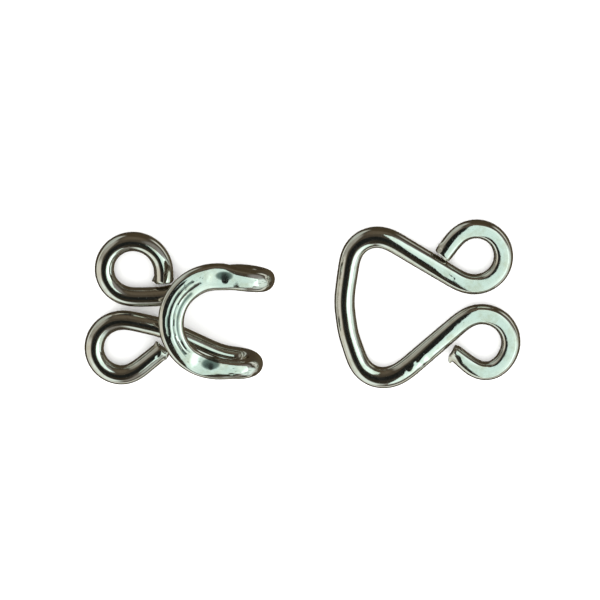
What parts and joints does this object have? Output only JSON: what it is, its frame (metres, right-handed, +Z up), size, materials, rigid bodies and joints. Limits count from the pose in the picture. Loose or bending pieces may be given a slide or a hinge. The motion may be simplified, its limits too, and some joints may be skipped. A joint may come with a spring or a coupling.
{
  "type": "hook and eye clasp",
  "caption": "Bent-wire garment fastener: a hook with a round flattened bill and sewing loops, and a loose matching bar eye.",
  "frame": {"origin": "centre of the pair's bounding box, on the surface both halves lie on", "axes": "+X from the hook's sewing loops towards the eye, +Y across the pair, +Z up from the surface; the bill is on the hook's upper side"},
  "size_m": [0.0402, 0.0158, 0.0055],
  "materials": {
    "hook_wire": "bright dark nickel plating on round wire, with forming marks",
    "eye_wire": "bright dark nickel plating on round wire, with forming marks"
  },
  "bodies": {
    "root": {"hook": "hook_wire", "eye": "eye_wire"}
  },
  "joints": []
}
